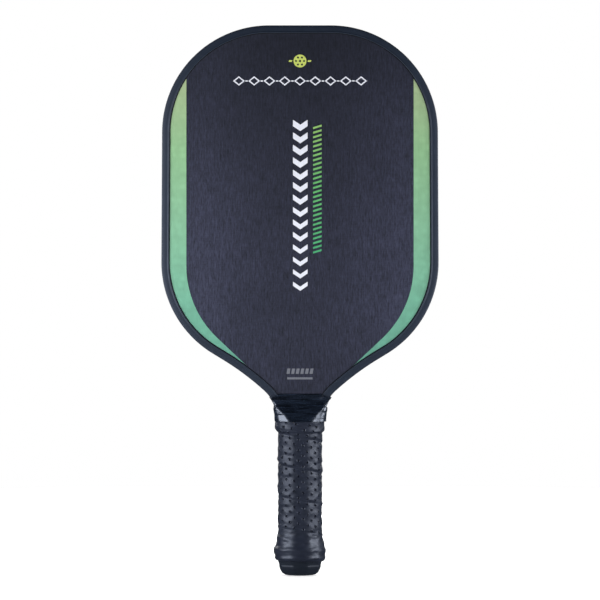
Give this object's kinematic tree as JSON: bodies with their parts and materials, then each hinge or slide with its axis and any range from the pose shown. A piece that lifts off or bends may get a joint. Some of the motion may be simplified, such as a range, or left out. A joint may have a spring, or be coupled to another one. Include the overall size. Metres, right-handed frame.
{
  "type": "pickleball paddle",
  "caption": "Pickleball paddle with a wide rounded head, printed faces on a honeycomb panel, an edge guard and a cushioned grip.",
  "frame": {"origin": "middle of the grip, on the handle's axis, where a hand holds the paddle", "axes": "+Z along the handle towards the tip of the head, +X across the head's width, -Y out of the front face"},
  "size_m": [0.2016, 0.034, 0.4001],
  "materials": {
    "core_polymer": "extruded polypropylene honeycomb, off-white",
    "bond_film": "thin amber adhesive film",
    "composite_sheet": "thin glass-fibre composite sheet, dark",
    "printed_film": "dark blue-grey printed film with a fine vertical linen grain and green side bands",
    "edge_guard": "satin slate-grey flexible plastic channel",
    "adhesive_tape": "double-sided adhesive tape, off-white",
    "handle_pallet": "light machined wood",
    "butt_cap": "smooth black moulded plastic",
    "tack_steel": "bright steel tack",
    "grip_cushion": "dark grey perforated cushion strip of coated felt, slightly tacky",
    "finishing_tape": "glossy black vinyl tape"
  },
  "bodies": {
    "root": {"honeycomb_core": "core_polymer", "front_bond_film": "bond_film", "back_bond_film": "bond_film", "front_face_sheet": "composite_sheet", "back_face_sheet": "composite_sheet", "front_graphic_film": "printed_film", "back_graphic_film": "printed_film", "edge_guard": "edge_guard", "edge_guard_adhesive": "adhesive_tape", "front_handle_pallet": "handle_pallet", "back_handle_pallet": "handle_pallet", "front_pallet_tape": "adhesive_tape", "back_pallet_tape": "adhesive_tape", "butt_cap": "butt_cap", "front_cap_tack": "tack_steel", "back_cap_tack": "tack_steel", "grip_base_tape": "adhesive_tape", "grip_wrap": "grip_cushion", "finishing_tape": "finishing_tape"}
  },
  "joints": []
}
